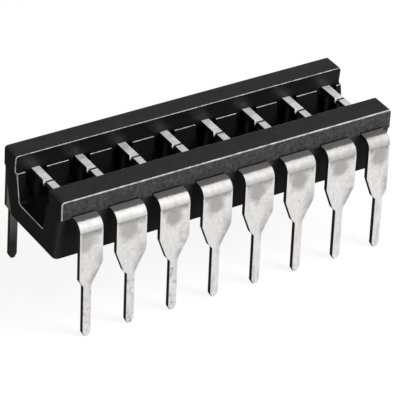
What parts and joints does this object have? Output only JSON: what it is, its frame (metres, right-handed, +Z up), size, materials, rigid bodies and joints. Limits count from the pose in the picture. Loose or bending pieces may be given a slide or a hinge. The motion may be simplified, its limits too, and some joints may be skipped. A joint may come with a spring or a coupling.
{
  "type": "programmable dual in-line jumper shunt",
  "caption": "Black plastic trough with flat metal pins down both long sides, each facing pair joined across the trough by a thin scored strap that can be broken.",
  "frame": {"origin": "on the ground that the pin tips stand on, under the middle of the housing", "axes": "+X along the housing, +Y across it, towards the row on the scored side of the straps, +Z up"},
  "size_m": [0.0198, 0.0082, 0.0078],
  "materials": {
    "black_plastic": "black moulded plastic, half gloss with a fine speckle",
    "tinned_metal": "satin tin plate over sheet brass"
  },
  "bodies": {
    "root": {"housing": "black_plastic", "shunt_1": "tinned_metal", "shunt_2": "tinned_metal", "shunt_3": "tinned_metal", "shunt_4": "tinned_metal", "shunt_5": "tinned_metal", "shunt_6": "tinned_metal", "shunt_7": "tinned_metal", "shunt_8": "tinned_metal"}
  },
  "joints": []
}
